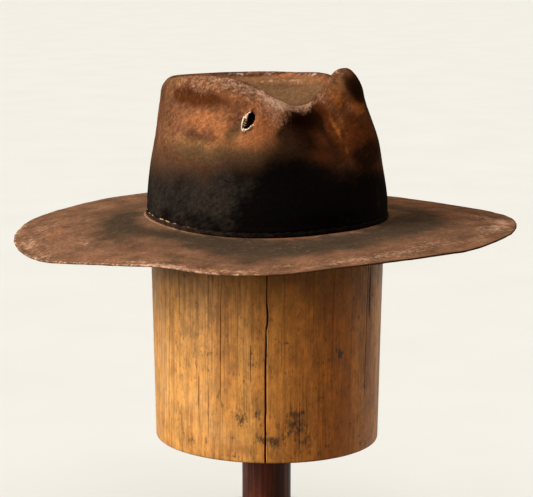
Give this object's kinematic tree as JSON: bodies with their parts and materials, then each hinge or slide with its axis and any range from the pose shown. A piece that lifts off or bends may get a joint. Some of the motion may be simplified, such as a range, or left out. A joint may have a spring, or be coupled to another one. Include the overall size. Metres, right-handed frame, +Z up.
{
  "type": "felt fedora on a wooden hat block stand",
  "caption": "Wide-brimmed felt hat with a pinched, dented crown, standing on a tapered oval wooden hat block with a post and a round base.",
  "frame": {"origin": "on the floor under the middle of the stand's round base", "axes": "+Z up, the hat's front towards -Y, the wearer's right side towards -X"},
  "size_m": [0.3888, 0.4133, 0.4166],
  "materials": {
    "crown_felt": "fuzzy rust-brown felt, charred black towards the brim, rubbed pale along the crest",
    "brim_felt": "worn brown felt with dark smudges and a rubbed edge",
    "block_wood": "old waxed wood with an upright grain, a drying crack and black stains",
    "stand_wood": "dark stained wood, satin"
  },
  "bodies": {
    "root": {"crown": "crown_felt", "brim": "brim_felt", "hat_block": "block_wood", "stand_post": "stand_wood", "stand_base": "stand_wood"}
  },
  "joints": []
}
